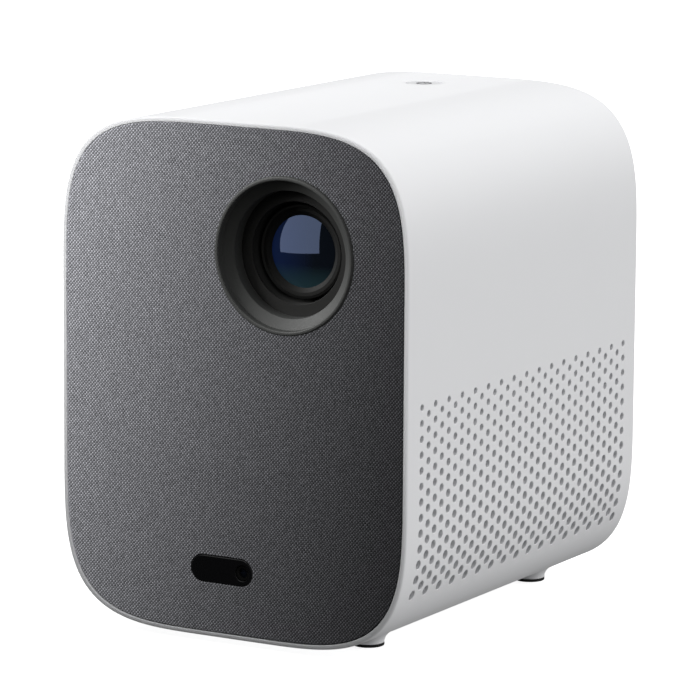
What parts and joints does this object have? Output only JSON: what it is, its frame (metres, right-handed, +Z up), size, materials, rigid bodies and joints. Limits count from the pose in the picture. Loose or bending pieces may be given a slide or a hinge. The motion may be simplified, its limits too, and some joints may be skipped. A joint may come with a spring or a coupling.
{
  "type": "home projector",
  "caption": "Upright squircle home projector: white sleeve with perforated sides, woven grey front, stepped round lens bezel, flared feet and a focus drive inside.",
  "frame": {"origin": "middle of the footprint, level with the undersides of the feet", "axes": "+Z up; -Y towards the front, where the lens is; +X along the width, towards the side the lens sits nearer to"},
  "size_m": [0.115, 0.1422, 0.1513],
  "materials": {
    "case_white": "matte",
    "inner_black": "matte",
    "woven_grey": "woven",
    "bezel_grey": "satin",
    "lens_black": "satin",
    "window_black": "gloss",
    "board_green": "satin",
    "optical_glass": "polished and coated",
    "optical_mirror": "polished",
    "screw_steel": "satin",
    "pad_rubber": "matte",
    "nut_brass": "satin",
    "icon_grey": "matte",
    "part_black": "satin",
    "mesh_dark": "open mesh",
    "socket_steel": "satin",
    "engine_grey": "die-cast, matte",
    "led_red_resin": "gloss",
    "led_green_resin": "gloss",
    "led_blue_resin": "gloss",
    "gear_plastic": "satin",
    "sink_aluminium": "milled",
    "pipe_copper": "bare copper",
    "frame_steel": "satin",
    "cone_pulp": "pressed pulp with a rubber surround"
  },
  "bodies": {
    "case": {"outer_shell": "case_white", "front_panel": "inner_black", "front_fabric": "woven_grey", "lens_bezel": "bezel_grey", "lens_baffle": "lens_black", "sensor_window": "window_black", "sensor_board": "board_green", "camera_module": "lens_black", "camera_lens": "optical_glass", "infrared_receiver": "window_black", "front_screws": "screw_steel", "rear_cover": "case_white", "rear_screws": "screw_steel", "foot_pads": "pad_rubber", "tripod_nut": "nut_brass", "button_board": "board_green", "power_switch": "part_black", "button_board_screws": "screw_steel", "dust_mesh_left": "mesh_dark", "dust_mesh_right": "mesh_dark", "chassis": "inner_black", "main_board": "board_green", "chassis_screws": "screw_steel", "hdmi_socket": "socket_steel", "usb_socket": "socket_steel", "audio_socket": "part_black", "dc_socket": "part_black", "engine_housing": "engine_grey", "engine_cover": "engine_grey", "led_red": "led_red_resin", "led_green": "led_green_resin", "led_blue": "led_blue_resin", "collimator_lenses": "optical_glass", "dichroic_mirrors": "optical_mirror", "fly_eye_lens": "optical_glass", "relay_lens": "optical_glass", "prism": "optical_glass", "mirror_chip": "optical_mirror", "mirror_board": "board_green", "lens_mount": "inner_black", "retaining_ring": "screw_steel", "focus_motor": "socket_steel", "heat_sink": "sink_aluminium", "heat_pipes": "pipe_copper", "heat_spreader": "pipe_copper", "fan_frame": "part_black", "fan_screws": "screw_steel", "speaker_box": "inner_black", "speaker_frames": "frame_steel"},
    "button": {"power_button": "case_white", "power_icon": "icon_grey"},
    "fan": {"fan_rotor": "part_black"},
    "ring": {"focus_ring": "gear_plastic"},
    "pinion": {"focus_pinion": "gear_plastic"},
    "lens_group": {"focus_barrel": "lens_black", "front_lens": "optical_glass", "lens_retainer": "lens_black", "rear_lens": "optical_glass"},
    "cone_left": {"speaker_cone_left": "cone_pulp"},
    "cone_right": {"speaker_cone_right": "cone_pulp"}
  },
  "joints": [
    {"name": "power_press", "type": "slide", "parent": "case", "child": "button", "axis": [0, 0, -1], "range_m": [0, 0.0006], "stiffness_N_per_m": 500, "springref_m": -0.001},
    {"name": "fan_spin", "type": "hinge", "parent": "case", "child": "fan", "pos_m": [0, 0.0565, 0.042], "axis": [0, 1, 0], "continuous": true},
    {"name": "focus_turn", "type": "hinge", "parent": "case", "child": "ring", "pos_m": [0.0172, -0.0296, 0.1144], "axis": [0, 1, 0], "range_deg": [-60, 60]},
    {"name": "pinion_turn", "type": "hinge", "parent": "case", "child": "pinion", "pos_m": [0.0172, -0.0296, 0.0913], "axis": [0, 1, 0], "range_deg": [-270.5, 270.5]},
    {"name": "lens_shift", "type": "slide", "parent": "case", "child": "lens_group", "axis": [0, -1, 0], "range_m": [-0.0015, 0.0015]},
    {"name": "cone_left_move", "type": "slide", "parent": "case", "child": "cone_left", "axis": [-1, 0, 0], "range_m": [-0.0008, 0.0008], "stiffness_N_per_m": 300},
    {"name": "cone_right_move", "type": "slide", "parent": "case", "child": "cone_right", "axis": [1, 0, 0], "range_m": [-0.0008, 0.0008], "stiffness_N_per_m": 300}
  ],
  "couplings": [
    {"joint": "focus_turn", "follows": "lens_shift", "rad_per_m": 698.13},
    {"joint": "pinion_turn", "follows": "lens_shift", "rad_per_m": -3141.6}
  ]
}
